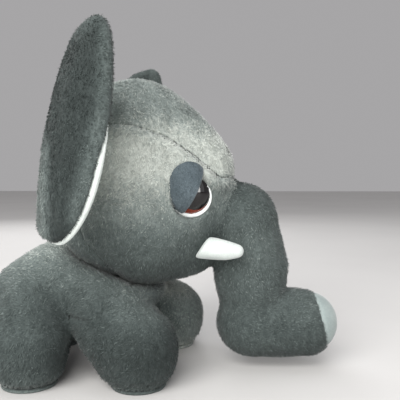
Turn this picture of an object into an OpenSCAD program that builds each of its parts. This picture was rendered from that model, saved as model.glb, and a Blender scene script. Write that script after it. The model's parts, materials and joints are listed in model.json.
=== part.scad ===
// Stuffed elephant on four short legs, made of sewn plush panels over fibre filling.
// Every panel, filling, eye part, tusk and ear layer is a solid of its own.
// +X is forward, +Z is up, and the soles rest on Z = 0.

/* [Plush] */
// Thickness of the plush fabric, backing and pile together
skin_t = 2.4; // [1.6:0.2:3]
// Space left between bodies that move past each other
gap = 0.8; // [0.5:0.1:1.4]
// Space left between a fabric panel and the filling behind it
fill_gap = 0.3; // [0.1:0.1:0.6]

/* [Torso] */
// Height of the rump's centre above the floor
rump_z = 52; // [48:1:56]
// Radius of the rump
rump_r = 25; // [22:1:27]
// Distance from the rump's centre to the chest's centre
torso_len = 79; // [74:1:84]
// Half of the width across the belly
torso_half_w = 39; // [36:1:42]

/* [Legs] */
// Radius of a foot
foot_r = 26; // [23:1:27]
// Radius of the flat sole
sole_r = 19; // [16:1:20]
// Distance of each foot from the middle plane
foot_y = 47; // [44:1:50]
// How far the left front foot stands ahead of the right one
front_step = 14; // [0:1:16]
// How far the left hind foot stands behind the right one
hind_step = 8; // [0:1:10]
// Swing of each leg, forward and back, in degrees
leg_swing = 10; // [4:1:14]

/* [Head] */
// Radius of the crown
crown_r = 42; // [39:1:45]
// Radius of the cheeks
cheek_r = 38; // [35:1:40]
// Half of the width across the cheeks
head_half_w = 54; // [51:1:57]
// Turn of the head to each side, in degrees
head_turn_max = 12; // [5:1:16]
// Nod of the head, up and down, in degrees
head_nod_max = 7; // [4:1:10]

/* [Trunk] */
// Radius of the trunk where it leaves the head
trunk_root_r = 27; // [24:1:28]
// Radius of the trunk at its elbow
elbow_r = 25.5; // [23:0.5:27]
// Radius of the trunk's tip
tip_r = 24; // [21:1:25]
// Distance from the elbow forward to the centre of the tip
tip_reach = 40; // [34:1:44]
// Lift of the whole trunk, in degrees
trunk_lift = 15; // [5:1:20]
// Curl of the trunk's lower part, in degrees
trunk_curl = 18; // [5:1:22]

/* [Eyes] */
// Radius of the glossy eye dome
eye_r = 13; // [11:0.5:14]
// Height of the eye dome
eye_h = 6.3; // [5:0.1:7]
// Radius of the eye's stem
stem_r = 2.6; // [2:0.1:3.5]

/* [Ears] */
// Highest point of the ear's middle line
ear_top_z = 241; // [232:1:244]
// Lowest point of the ear's middle line
ear_bottom_z = 101; // [97:1:108]
// Distance of the ear's free edge from the middle plane
ear_reach = 108; // [100:1:112]

/* [Tusks and tail] */
// Radius of a tusk at its base
tusk_r = 7.5; // [6:0.5:8.5]
// Length of a tusk
tusk_len = 27; // [20:1:32]
// Radius of the tail's sleeve
tail_r = 3.6; // [2.5:0.1:4.5]

/* [Hidden] */

RIGHT = -1;
LEFT = 1;
BIG = 400;

plush = [0.46, 0.50, 0.47];
plush_dark = [0.33, 0.37, 0.35];
velour_white = [0.92, 0.94, 0.92];
velour_mint = [0.80, 0.87, 0.85];
lid_grey = [0.39, 0.45, 0.49];
fibre = [0.95, 0.95, 0.93];
thread = [0.30, 0.33, 0.31];
eye_black = [0.05, 0.04, 0.04];
nylon = [0.88, 0.88, 0.86];

// A rounded body is the hull of balls, each one [x, y, z, r]
function pair(x, y, z, r) = [[x, y, z, r], [x, -y, z, r]];
function mirror_balls(balls, side) = [for (b = balls) [b[0], side * b[1], b[2], b[3]]];

// Torso: rump, back and chest
rump_x = -96;
chest_x = rump_x + torso_len;
torso_balls = concat(
  pair(rump_x, torso_half_w - rump_r, rump_z, rump_r),
  pair(rump_x + 23, torso_half_w - 29, rump_z + 10, 30),
  pair(chest_x, torso_half_w - 28, rump_z + 14, 24)
);
tail_root = [rump_x - rump_r - 3, 0, rump_z + 8];
tail_end = tail_root + [-6, 0, -26];

// Legs: a hip or shoulder ball, and a foot with a flat sole
front_x = [-8, front_step];
hind_x = [-83, -hind_step];
front_shoulder = [-37, 34, 51, 20];
hind_hip = [-85, 32, 52, 21];
sole_t = 1.8;

// Head: crown, forehead, brow, back, jaw, nape and muzzle
head_balls = concat(
  pair(-14, 12, 168, crown_r),
  pair(6, 10, 156, 38),
  pair(19, 8, 141, 38),
  pair(-38, head_half_w - 36, 138, 36),
  pair(-6, head_half_w - cheek_r, 102, cheek_r),
  pair(-34, 16, 110, 34),
  pair(22, 9, 98, 28)
);
neck = [-27, 0, 82];
neck_ball_r = 14;
neck_socket_r = 20;

// Trunk: root ball, hump, shin, elbow and tip
trunk_root = [50, 0, 111];
elbow = [71, 0, 33];
tip = [elbow[0] + tip_reach, 0, elbow[2] - 1];
trunk_drop = 6;
trunk_upper_balls = [
  [trunk_root[0], 0, trunk_root[2], trunk_root_r],
  [64, 0, 110, trunk_root_r],
  [71, 0, 72, 26],
  [71, 0, 50, 24]
];
trunk_lower_balls = [
  [elbow[0], 0, elbow[2], elbow_r],
  [tip[0], 0, tip[2], tip_r]
];
pad_seam_top = [tip[0] + 5, 0, tip[2] + tip_r];
pad_seam_lean = 14;

// Eyes: the seat on the head's flank and the way it faces
eye_seat = [28, 43.4, 127];
eye_yaw = 15;
eye_dip = 14;
felt_t = 0.8;
seat_depth = 1.6;
lid_t = 1.4;
lid_tilt = 24;
washer_r = 9;
washer_t = 1.5;
washer_depth = 8;
white_r = eye_r + 2;
dome_r = (eye_r * eye_r + eye_h * eye_h) / (2 * eye_h);

// Tusks: along the trunk, from the front of the cheek
tusk_base = [32, 36, 93];

// Ears: stations from the sewn root to the free edge.
// Each one is [x, y, z low, z high, thickness share, lean of the top forward]
ear_root_y = 52.5;
ear_stations = [
  [-46, ear_root_y, 122, 182, 0.5, 8],
  [-61, 76, ear_bottom_z + 8, ear_top_z - 12, 1, 22],
  [-45, 96, ear_bottom_z, ear_top_z, 1, 27],
  [-14, ear_reach, ear_bottom_z + 24, ear_top_z - 22, 0.8, 6]
];
ear_axis_low = [-46, ear_root_y, 110];
ear_axis_high = [-37, ear_root_y, 194];
back_layer = [-3.1, 1.2];
padding_layer = [0, 1.5];
lining_layer = [2.8, 0.8];
// Rows of the ear's plates, as shares of the height from bottom to top
padding_rows = [0.1, 0.3, 0.5, 0.7, 0.9];
ear_rows = concat([0.02], padding_rows, [0.98]);
groove_r = 6;

module blob(balls, inset = 0, fn = 20) {
  hull()
    for (b = balls)
      translate([b[0], b[1], b[2]])
        sphere(r = b[3] - inset, $fn = fn);
}

module rotate_at(point, angles) {
  translate(point)
    rotate(angles)
      translate(-point)
        children();
}

// Everything behind the outline in X and Z, across the whole width
module across(points) {
  rotate([90, 0, 0])
    linear_extrude(height = BIG, center = true)
      polygon(points);
}

module half_space(side) {
  translate([-BIG, side > 0 ? 0 : -BIG, -BIG])
    cube([2 * BIG, BIG, 2 * BIG]);
}

// ---- Legs

function leg_top(front) = front ? front_shoulder : hind_hip;
function leg_foot_x(front, side) =
  front ? front_x[0] + (side == LEFT ? front_x[1] : 0)
        : hind_x[0] + (side == LEFT ? hind_x[1] : 0);
function leg_pivot(front, side) =
  let (top = leg_top(front)) [top[0], side * top[1], top[2]];

module leg_form(front, side, inset = 0) {
  top = leg_top(front);
  x = leg_foot_x(front, side);
  hull() {
    translate([top[0], side * top[1], top[2]])
      sphere(r = top[3] - inset, $fn = 20);
    translate([x, side * foot_y, foot_r])
      sphere(r = foot_r - inset, $fn = 20);
    translate([x, side * foot_y, inset])
      cylinder(r = sole_r + 1 - inset, h = foot_r - inset, $fn = 24);
  }
}

module leg_sweep(front, side) {
  hull()
    for (a = [-leg_swing, 0, leg_swing])
      rotate_at(leg_pivot(front, side), [0, a, 0])
        leg_form(front, side, -gap);
}

// The room that the head needs, as each front leg meets it over its swing
module head_over_leg(front, side) {
  if (front)
    for (a = [-leg_swing, 0, leg_swing])
      rotate_at(leg_pivot(front, side), [0, a, 0])
        head_sweep();
}

module leg_skin(front, side) {
  color(plush_dark)
    difference() {
      leg_form(front, side);
      leg_form(front, side, skin_t);
      head_over_leg(front, side);
      translate([leg_foot_x(front, side), side * foot_y, -1])
        cylinder(r = sole_r, h = skin_t + 2, $fn = 48);
    }
}

module leg_stuffing(front, side) {
  color(fibre)
    difference() {
      leg_form(front, side, skin_t + fill_gap);
      head_over_leg(front, side);
    }
}

module foot_sole(front, side) {
  color(plush)
    translate([leg_foot_x(front, side), side * foot_y, 0])
      cylinder(r = sole_r - 0.1, h = sole_t, $fn = 48);
}

// ---- Torso

module all_leg_sweeps() {
  for (front = [true, false], side = [RIGHT, LEFT])
    leg_sweep(front, side);
}

module head_sweep() {
  hull()
    for (turn = [-head_turn_max, 0, head_turn_max], nod = [-head_nod_max, 0, head_nod_max])
      rotate_at(neck, [0, nod, turn])
        blob(head_balls, -1.5 * gap);
}

module torso_cuts() {
  all_leg_sweeps();
  head_sweep();
  translate(neck)
    sphere(r = neck_socket_r, $fn = 24);
  translate(tail_root)
    sphere(r = tail_r + 1.2, $fn = 16);
}

// The belly gusset runs under the belly and up the chest
module belly_zone() {
  across([
    [BIG, -BIG], [BIG, BIG], [chest_x + 2, BIG], [chest_x + 2, 54],
    [chest_x - 12, 47], [rump_x, 44], [rump_x - BIG, 44], [rump_x - BIG, -BIG]
  ]);
}

module torso_shell() {
  difference() {
    blob(torso_balls);
    blob(torso_balls, skin_t);
    torso_cuts();
  }
}

module torso_side(side) {
  color(plush)
    difference() {
      intersection() {
        torso_shell();
        half_space(side);
      }
      belly_zone();
    }
}

module belly_gusset() {
  color(plush)
    intersection() {
      torso_shell();
      belly_zone();
    }
}

module torso_stuffing() {
  color(fibre)
    difference() {
      blob(torso_balls, skin_t + fill_gap);
      torso_cuts();
    }
}

module neck_seam_ring() {
  color(thread)
    translate(neck)
      rotate([0, 20, 0])
        rotate_extrude($fn = 48)
          translate([neck_socket_r - 3.2, 0])
            circle(r = 1.6, $fn = 24);
}

module neck_stuffing() {
  color(fibre)
    translate(neck)
      sphere(r = neck_ball_r, $fn = 48);
}

// ---- Tail

module tail_sleeve() {
  color(plush_dark)
    hull() {
      translate(tail_root)
        sphere(r = tail_r, $fn = 16);
      translate(tail_end)
        sphere(r = tail_r - 0.4, $fn = 16);
    }
}

module tail_tuft() {
  color(plush_dark)
    difference() {
      hull() {
        translate(tail_end + [0, 0, -1])
          sphere(r = tail_r + 1.1, $fn = 16);
        translate(tail_end + [0, 0, -12])
          sphere(r = tail_r - 0.6, $fn = 16);
      }
      hull() {
        translate(tail_root)
          sphere(r = tail_r + 0.1, $fn = 16);
        translate(tail_end)
          sphere(r = tail_r - 0.3, $fn = 16);
      }
    }
}

// ---- Head

module trunk_upper_form(inset = 0) {
  blob([trunk_upper_balls[0], trunk_upper_balls[1]], inset);
  blob([trunk_upper_balls[1], trunk_upper_balls[2], trunk_upper_balls[3]], inset);
}

module trunk_sweep() {
  hull()
    for (a = [-trunk_lift, -trunk_lift / 2, trunk_drop])
      rotate_at(trunk_root, [0, a, 0])
        blob(trunk_upper_balls, -gap, 16);
}

module eye_at(side) {
  translate([eye_seat[0], side * eye_seat[1], eye_seat[2]])
    rotate([0, 0, side * (90 - eye_yaw)])
      rotate([0, 90 + eye_dip, 0])
        children();
}

module eye_pocket(side) {
  eye_at(side) {
    translate([0, 0, -seat_depth])
      cylinder(r = white_r + 0.4, h = 20, $fn = 48);
    translate([0, 0, -20])
      cylinder(r = stem_r + 0.2, h = 22, $fn = 32);
  }
}

module washer_pocket(side) {
  eye_at(side)
    translate([0, 0, -washer_depth - washer_t - 0.3])
      cylinder(r = washer_r + 0.4, h = washer_t + 0.6, $fn = 32);
}

module ear_groove(side) {
  low = [ear_axis_low[0], side * ear_axis_low[1], ear_axis_low[2]];
  high = [ear_axis_high[0], side * ear_axis_high[1], ear_axis_high[2]];
  hull() {
    translate(low)
      sphere(r = groove_r, $fn = 16);
    translate(high)
      sphere(r = groove_r, $fn = 16);
  }
}

module head_cuts() {
  trunk_sweep();
  translate(neck)
    sphere(r = neck_socket_r, $fn = 24);
  for (side = [RIGHT, LEFT]) {
    eye_pocket(side);
    ear_groove(side);
  }
}

// Seam from the nape over the temple to the root of the trunk
gusset_line = [[-BIG, 176], [-40, 179], [-10, 179], [10, 170], [30, 155], [47, 139], [BIG, 139]];

module gusset_zone() {
  across(concat(gusset_line, [[BIG, BIG], [-BIG, BIG]]));
}

// The panel at the back of the head ends at a seam that runs down from the ear
module back_zone() {
  across([[-BIG, -BIG], [-20, -BIG], [-20, 66], [-46, 100], [-54, 150], [-54, BIG], [-BIG, BIG]]);
}

module head_shell() {
  difference() {
    blob(head_balls);
    blob(head_balls, skin_t);
    head_cuts();
  }
}

module head_cheek(side) {
  color(plush)
    difference() {
      intersection() {
        head_shell();
        half_space(side);
      }
      gusset_zone();
      back_zone();
    }
}

module head_gusset() {
  color(plush)
    intersection() {
      head_shell();
      gusset_zone();
    }
}

module head_back_panel() {
  color(plush)
    difference() {
      intersection() {
        head_shell();
        back_zone();
      }
      gusset_zone();
    }
}

module head_stuffing() {
  color(fibre)
    difference() {
      blob(head_balls, skin_t + fill_gap);
      head_cuts();
      washer_pocket(RIGHT);
      washer_pocket(LEFT);
    }
}

// ---- Eyes

module dome_cap(grow = 0) {
  translate([0, 0, eye_h - dome_r - seat_depth + felt_t])
    sphere(r = dome_r + grow, $fn = 64);
}

module eye_dome(side) {
  color(eye_black)
    eye_at(side) {
      intersection() {
        dome_cap();
        translate([0, 0, -seat_depth + felt_t])
          cylinder(r = eye_r, h = 20, $fn = 64);
      }
      translate([0, 0, -washer_depth - washer_t - 2])
        cylinder(r = stem_r, h = washer_depth + washer_t + 2 - seat_depth + felt_t, $fn = 32);
    }
}

module eye_white(side) {
  color(velour_white)
    eye_at(side)
      translate([0, 0, -seat_depth])
        difference() {
          cylinder(r = white_r, h = felt_t, $fn = 64);
          translate([0, 0, -1])
            cylinder(r = stem_r + 0.1, h = felt_t + 2, $fn = 32);
        }
}

module eye_washer(side) {
  color(nylon)
    eye_at(side)
      translate([0, 0, -washer_depth - washer_t])
        difference() {
          cylinder(r = washer_r, h = washer_t, $fn = 48);
          translate([0, 0, -1])
            cylinder(r = stem_r + 0.05, h = washer_t + 2, $fn = 32);
        }
}

// A velour lid over the rear and upper part of the dome
module eyelid(side) {
  color(lid_grey)
    eye_at(side)
      difference() {
        intersection() {
          dome_cap(lid_t + 0.3);
          translate([0, 0, -seat_depth + felt_t + 0.1])
            cylinder(r = white_r - 0.1, h = 20, $fn = 64);
          rotate([0, 0, side * lid_tilt])
            translate([-30, side * 30 - 30 - side * 1.5, -5])
              cube([60, 60, 30]);
        }
        dome_cap(0.3);
      }
}

// ---- Tusks

function tusk_balls(side) = mirror_balls([
  [tusk_base[0], tusk_base[1], tusk_base[2], tusk_r],
  [tusk_base[0] + 0.55 * tusk_len, tusk_base[1] + 3, tusk_base[2] - 1.5, tusk_r - 0.5],
  [tusk_base[0] + tusk_len, tusk_base[1] + 3, tusk_base[2] - 1, tusk_r - 3]
], side);

module tusk_cover(side) {
  color(velour_white)
    difference() {
      blob(tusk_balls(side), 0, 16);
      blob(tusk_balls(side), 1.2, 16);
      blob(head_balls, -0.2);
    }
}

module tusk_stuffing(side) {
  color(fibre)
    difference() {
      blob(tusk_balls(side), 1.4, 16);
      blob(head_balls, -0.2);
    }
}

// ---- Ears

// Direction across the ear's thickness at station i, towards its lined side
function ear_step(i) = [ear_stations[i + 1][0] - ear_stations[i][0], ear_stations[i + 1][1] - ear_stations[i][1]];
function unit(v) = v / norm(v);
function ear_tangent(i) =
  i == 0 ? unit(ear_step(0))
  : i == len(ear_stations) - 1 ? unit(ear_step(i - 1))
  : unit(unit(ear_step(i - 1)) + unit(ear_step(i)));
function ear_normal(i) = [ear_tangent(i)[1], -ear_tangent(i)[0]];

// A point of station i at height share h, shifted by offset across the thickness
function ear_point(i, h, offset) =
  let (
    s = ear_stations[i],
    z = s[2] + h * (s[3] - s[2]),
    bow = i == 0 ? 0 : 3 - 5 * pow(2 * h - 1, 2),
    k = offset * s[4]
  )
  [s[0] + s[5] * pow(h, 2) + ear_normal(i)[0] * k - (i == 3 ? 8 * pow(1 - h, 3) : 0),
   s[1] + ear_normal(i)[1] * k + bow, z];

function quad(a, b, c, d) = [[a, b, c], [a, c, d]];

// One layer of the left ear: a thin curved plate between two offsets from the middle surface
module ear_plate(layer, first, rows) {
  stations = [first : len(ear_stations) - 1];
  n = len(rows);
  m = len(ear_stations) - first;
  function at(face, i, j) = (face * m + i) * n + j;
  points = [
    for (offset = [layer[0] - layer[1], layer[0] + layer[1]], i = stations, h = rows)
      ear_point(i, h, offset)
  ];
  broad_faces = [
    for (i = [0 : m - 2], j = [0 : n - 2])
      each concat(
        quad(at(1, i, j), at(1, i, j + 1), at(1, i + 1, j + 1), at(1, i + 1, j)),
        [[at(0, i, j), at(0, i + 1, j + 1), at(0, i, j + 1)], [at(0, i, j), at(0, i + 1, j), at(0, i + 1, j + 1)]]
      )
  ];
  root_and_free_edge = [
    for (j = [0 : n - 2])
      each concat(
        quad(at(0, 0, j), at(0, 0, j + 1), at(1, 0, j + 1), at(1, 0, j)),
        quad(at(0, m - 1, j), at(1, m - 1, j), at(1, m - 1, j + 1), at(0, m - 1, j + 1))
      )
  ];
  bottom_and_top_edge = [
    for (i = [0 : m - 2])
      each concat(
        quad(at(0, i, 0), at(1, i, 0), at(1, i + 1, 0), at(0, i + 1, 0)),
        quad(at(0, i, n - 1), at(0, i + 1, n - 1), at(1, i + 1, n - 1), at(1, i, n - 1))
      )
  ];
  polyhedron(points, concat(broad_faces, root_and_free_edge, bottom_and_top_edge));
}

module ear_layer(side, layer, first, rows) {
  if (side == LEFT)
    ear_plate(layer, first, rows);
  else
    mirror([0, 1, 0])
      ear_plate(layer, first, rows);
}

module ear_back(side) {
  color(plush_dark)
    ear_layer(side, back_layer, 0, ear_rows);
}

module ear_padding(side) {
  color(fibre)
    ear_layer(side, padding_layer, 1, padding_rows);
}

module ear_lining(side) {
  color(velour_mint)
    ear_layer(side, lining_layer, 0, ear_rows);
}

// ---- Trunk

module trunk_lower_form(inset = 0) {
  blob(trunk_lower_balls, inset);
}

module trunk_lower_sweep() {
  hull()
    for (a = [-trunk_curl, -trunk_curl / 2, trunk_drop])
      rotate_at(elbow, [0, a, 0])
        trunk_lower_form(-gap);
}

module trunk_upper_skin() {
  color(plush)
    difference() {
      trunk_upper_form();
      trunk_upper_form(skin_t);
      trunk_lower_sweep();
    }
}

module trunk_upper_stuffing() {
  color(fibre)
    difference() {
      trunk_upper_form(skin_t + fill_gap);
      trunk_lower_sweep();
    }
}

// The space in front of the leaning seam around the tip
module pad_zone() {
  translate(pad_seam_top)
    rotate([0, -pad_seam_lean, 0])
      translate([0, -BIG / 2, -BIG / 2])
        cube([BIG, BIG, BIG]);
}

module trunk_lower_shell() {
  difference() {
    trunk_lower_form();
    trunk_lower_form(skin_t);
  }
}

module trunk_lower_skin() {
  color(plush)
    difference() {
      trunk_lower_shell();
      pad_zone();
    }
}

module trunk_lower_stuffing() {
  color(fibre)
    trunk_lower_form(skin_t + fill_gap);
}

module trunk_tip_pad() {
  color(velour_mint)
    intersection() {
      trunk_lower_shell();
      pad_zone();
    }
}

torso_side(RIGHT);  // torso_side_right
torso_side(LEFT);  // torso_side_left
belly_gusset();
torso_stuffing();
neck_seam_ring();
neck_stuffing();
tail_sleeve();
tail_tuft();
leg_skin(true, RIGHT);  // leg_front_right_skin
leg_stuffing(true, RIGHT);  // leg_front_right_stuffing
foot_sole(true, RIGHT);  // foot_front_right_sole
leg_skin(true, LEFT);  // leg_front_left_skin
leg_stuffing(true, LEFT);  // leg_front_left_stuffing
foot_sole(true, LEFT);  // foot_front_left_sole
leg_skin(false, RIGHT);  // leg_hind_right_skin
leg_stuffing(false, RIGHT);  // leg_hind_right_stuffing
foot_sole(false, RIGHT);  // foot_hind_right_sole
leg_skin(false, LEFT);  // leg_hind_left_skin
leg_stuffing(false, LEFT);  // leg_hind_left_stuffing
foot_sole(false, LEFT);  // foot_hind_left_sole
head_cheek(RIGHT);  // head_cheek_right
head_cheek(LEFT);  // head_cheek_left
head_gusset();
head_back_panel();
head_stuffing();
eye_dome(RIGHT);  // eye_right_dome
eye_white(RIGHT);  // eye_right_white
eye_washer(RIGHT);  // eye_right_washer
eyelid(RIGHT);  // eyelid_right
eye_dome(LEFT);  // eye_left_dome
eye_white(LEFT);  // eye_left_white
eye_washer(LEFT);  // eye_left_washer
eyelid(LEFT);  // eyelid_left
tusk_cover(RIGHT);  // tusk_right_cover
tusk_stuffing(RIGHT);  // tusk_right_stuffing
tusk_cover(LEFT);  // tusk_left_cover
tusk_stuffing(LEFT);  // tusk_left_stuffing
ear_back(RIGHT);  // ear_right_back
ear_padding(RIGHT);  // ear_right_padding
ear_lining(RIGHT);  // ear_right_lining
ear_back(LEFT);  // ear_left_back
ear_padding(LEFT);  // ear_left_padding
ear_lining(LEFT);  // ear_left_lining
trunk_upper_skin();
trunk_upper_stuffing();
trunk_lower_skin();
trunk_lower_stuffing();
trunk_tip_pad();
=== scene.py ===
"""A stuffed elephant: plush panels, filling, glass eyes, velour tusks and lined ears round its frame.

Shapes are worked out in millimetres as distance fields, negative inside, and become metres in
new_object(). The frame gives the places of the joints, eyes, soles and tail.
"""
import itertools
import json
import math

import bmesh
import bpy
import numpy as np
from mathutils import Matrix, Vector


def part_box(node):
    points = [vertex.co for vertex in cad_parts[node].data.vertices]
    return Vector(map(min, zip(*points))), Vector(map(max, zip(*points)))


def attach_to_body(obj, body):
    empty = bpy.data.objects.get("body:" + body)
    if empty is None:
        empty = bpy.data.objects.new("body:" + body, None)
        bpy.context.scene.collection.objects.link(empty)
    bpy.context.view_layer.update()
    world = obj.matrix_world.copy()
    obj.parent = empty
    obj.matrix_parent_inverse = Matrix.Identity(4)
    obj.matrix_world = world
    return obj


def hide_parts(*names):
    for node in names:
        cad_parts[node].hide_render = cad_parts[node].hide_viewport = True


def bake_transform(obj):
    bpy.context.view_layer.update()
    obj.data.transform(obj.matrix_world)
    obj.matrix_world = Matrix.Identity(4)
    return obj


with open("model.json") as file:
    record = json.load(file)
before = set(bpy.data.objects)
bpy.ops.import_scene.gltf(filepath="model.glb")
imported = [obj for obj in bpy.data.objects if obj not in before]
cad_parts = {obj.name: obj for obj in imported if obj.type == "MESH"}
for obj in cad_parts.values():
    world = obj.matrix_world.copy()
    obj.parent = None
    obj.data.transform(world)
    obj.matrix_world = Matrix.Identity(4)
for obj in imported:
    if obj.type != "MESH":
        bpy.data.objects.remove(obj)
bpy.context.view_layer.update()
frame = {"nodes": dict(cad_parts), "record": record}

MM = 0.001
RIGHT, LEFT = -1, 1
SIDES = {"right": RIGHT, "left": LEFT}
SEED = 11
# How thick a panel and the collar under a limb's edge are
PANEL_T = 3.0
COLLAR_T = 2.6
# How far the trunk's pieces reach past where they part, and how far softening draws a form in
OVERLAP = 2.0
SOFTEN_LOSS = 0.9
# Distance between grid points, and how much smaller a form starts, because the cloth swells it
STEP = 1.5
SWELL = 0.9


# ---- Places that come from the frame

def joint_point(name):
    """Where a joint's axis passes, in millimetres."""
    found = next(j for j in frame["record"]["behaviour"]["joints"] if j["name"] == name)
    return np.array(found["pos_m"], float) / MM


def box_mm(node):
    lo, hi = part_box(node)
    return np.array(lo) / MM, np.array(hi) / MM


NECK = joint_point("head_turn")
TRUNK_ROOT = joint_point("trunk_base")
ELBOW = joint_point("trunk_bend")
TAIL_ROOT = joint_point("tail_swing")


# ---- Distance fields

def spread_directions(count):
    """Unit vectors spread evenly over a sphere, with the six axis directions."""
    i = np.arange(count) + 0.5
    z = 1 - 2 * i / count
    turn = math.pi * (1 + math.sqrt(5)) * i
    r = np.sqrt(1 - z * z)
    return np.vstack([np.stack([r * np.cos(turn), r * np.sin(turn), z], 1), np.eye(3), -np.eye(3)])


DIRECTIONS = spread_directions(700)


def hull_of(balls, discs=()):
    """The distance to the hull of balls and level discs, each one (x, y, z, r)."""
    balls = np.array(balls, float)
    support = (DIRECTIONS @ balls[:, :3].T + balls[:, 3]).max(1)
    level = np.hypot(DIRECTIONS[:, 0], DIRECTIONS[:, 1])
    for x, y, z, r in discs:
        support = np.maximum(support, DIRECTIONS @ np.array([x, y, z]) + r * level)
    axes = DIRECTIONS.T.astype(np.float32)
    limit = support.astype(np.float32)

    def field(p):
        out = np.empty(len(p))
        for i in range(0, len(p), 60000):
            out[i:i + 60000] = (p[i:i + 60000].astype(np.float32) @ axes - limit).max(1)
        return out

    return field


def unit(v):
    return v / np.maximum(np.linalg.norm(v, axis=1), 1e-9)[:, None]


def distance(p, place):
    return np.linalg.norm(p - place, axis=1)


def rise(value, start, run):
    """0 up to the start and 1 past the run. A negative run rises the other way."""
    return np.clip((value - start) / run, 0, 1)


def blend_min(a, b, k):
    """Two forms joined, with a fillet about k wide."""
    h = np.clip(0.5 + 0.5 * (b - a) / k, 0, 1)
    return b + (a - b) * h - k * h * (1 - h)


def blend_max(a, b, k):
    """What two forms share, with its edge rounded."""
    return -blend_min(-a, -b, k)


def both(*fields):
    """What all the forms share, with sharp edges."""
    return np.maximum.reduce(fields)


def seam_edge(form, zone, k=5):
    """A panel's form rounded off where its zone ends, so that two neighbours meet in a soft valley."""
    return blend_max(form, zone - k / 4, k)


def off_line(along, across, corners, heights, steps):
    """How far a place is off a line of corners, measured square to the line."""
    slope = np.gradient(np.interp(steps, corners, heights), steps[1] - steps[0])
    run = np.interp(along, steps, slope)
    return (across - np.interp(along, corners, heights)) / np.sqrt(1 + run * run)


def above_line(p, xs, zs):
    """How far a point is above a line given as x and height."""
    return off_line(p[:, 0], p[:, 2], xs, zs, np.arange(-200, 200, 2.0))


def behind_line(p, zs, xs):
    """How far a point is behind a line given as height and x."""
    return -off_line(p[:, 2], p[:, 0], zs, xs, np.arange(-50, 300, 2.0))


def turned(points, centre, about_y, about_z):
    """Points turned about a centre, in degrees."""
    a, b = math.radians(about_y), math.radians(about_z)
    ry = np.array([[math.cos(a), 0, math.sin(a)], [0, 1, 0], [-math.sin(a), 0, math.cos(a)]])
    rz = np.array([[math.cos(b), -math.sin(b), 0], [math.sin(b), math.cos(b), 0], [0, 0, 1]])
    return (points - centre) @ (rz @ ry).T + centre


# ---- From a field to a mesh

class Grid:
    """A box of evenly spaced points."""

    def __init__(self, lo, hi, step):
        self.lo = np.array(lo, float)
        self.step = step
        self.shape = tuple(int(math.ceil((b - a) / step)) + 1 for a, b in zip(lo, hi))
        index = np.stack(np.meshgrid(*[np.arange(n) for n in self.shape], indexing="ij"), -1)
        self.points = self.lo + index.reshape(-1, 3) * step

    def corners(self, p):
        """The eight grid points round each place, with the share that each one has in it."""
        q = np.clip((p - self.lo) / self.step, 0, np.array(self.shape) - 1.001)
        i = q.astype(int)
        f = q - i
        for corner in itertools.product((0, 1), repeat=3):
            share = np.where(corner, f, 1 - f)
            yield tuple((i + corner).T), share[:, 0] * share[:, 1] * share[:, 2]

    def sample(self, values, p):
        """Values on the grid, read between its points."""
        total = 0
        for at, share in self.corners(p):
            total = total + (share * values[at].T).T
        return total

    def slope(self, values, p):
        """Which way and how steeply the values rise."""
        d = self.step * 0.5
        g = [self.sample(values, p + d * e) - self.sample(values, p - d * e) for e in np.eye(3)]
        return np.stack(g, 1) / (2 * d)


def net(values, grid):
    """Quads on the surface where values change sign: one vertex for each cell it passes through."""
    cells = tuple(n - 1 for n in grid.shape)
    total = np.zeros(cells + (3,))
    count = np.zeros(cells)
    crossings = []
    for axis in range(3):
        a = np.moveaxis(values, axis, 0)
        lower, upper = a[:-1], a[1:]
        hit = (lower < 0) != (upper < 0)
        hit[:, 0, :] = hit[:, -1, :] = False
        hit[:, :, 0] = hit[:, :, -1] = False
        i, j, k = np.nonzero(hit)
        share = lower[hit] / (lower[hit] - upper[hit])
        index = [j, k]
        index.insert(axis, i)
        index = np.stack(index, 1)
        place = index.astype(float)
        place[:, axis] += share
        others = [b for b in range(3) if b != axis]
        around = []
        for du, dv in ((0, 0), (1, 0), (1, 1), (0, 1)):
            cell = index.copy()
            cell[:, others[0]] -= du
            cell[:, others[1]] -= dv
            key = np.ravel_multi_index(tuple(cell.T), cells)
            around.append(key)
            np.add.at(total.reshape(-1, 3), key, place)
            np.add.at(count.reshape(-1), key, 1)
        quad = np.stack(around, 1)
        flip = (lower[hit] < 0) == (axis == 1)
        quad[flip] = quad[flip][:, ::-1]
        crossings.append(quad)
    used = np.nonzero(count.reshape(-1))[0]
    number = np.full(count.size, -1)
    number[used] = np.arange(len(used))
    middle = total.reshape(-1, 3)[used] / count.reshape(-1)[used][:, None]
    return grid.lo + middle * grid.step, number[np.concatenate(crossings)]


def edges_of(quads):
    """Each pair of joined vertices once."""
    pairs = np.concatenate([quads[:, [i, (i + 1) % quads.shape[1]]] for i in range(quads.shape[1])])
    return np.unique(np.sort(pairs, 1), axis=0)


def neighbour_mean(values, edges, count):
    """The mean of each vertex's neighbours."""
    total = np.zeros((count, values.shape[1]))
    number = np.zeros(count)
    for a, b in ((0, 1), (1, 0)):
        np.add.at(total, edges[:, a], values[edges[:, b]])
        np.add.at(number, edges[:, a], 1)
    return total / np.maximum(number, 1)[:, None]


def smooth_net(values, grid, rounds=3):
    """The surface, with its vertices evened out and put back on the field."""
    values = values.reshape(grid.shape)
    verts, quads = net(values, grid)
    edges = edges_of(quads)
    for _ in range(rounds):
        verts = verts + 0.5 * (neighbour_mean(verts, edges, len(verts)) - verts)
        g = grid.slope(values, verts)
        size = np.maximum((g * g).sum(1), 0.25)
        move = np.clip(grid.sample(values, verts) / size, -0.6, 0.6)
        verts = verts - g * move[:, None]
    return verts, quads


def normals_of(verts, quads):
    """Outward normals at the vertices."""
    a, b = verts[quads[:, 2]] - verts[quads[:, 0]], verts[quads[:, 3]] - verts[quads[:, 1]]
    face = np.cross(a, b)
    out = np.zeros_like(verts)
    for i in range(4):
        np.add.at(out, quads[:, i], face)
    return unit(out)


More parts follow.
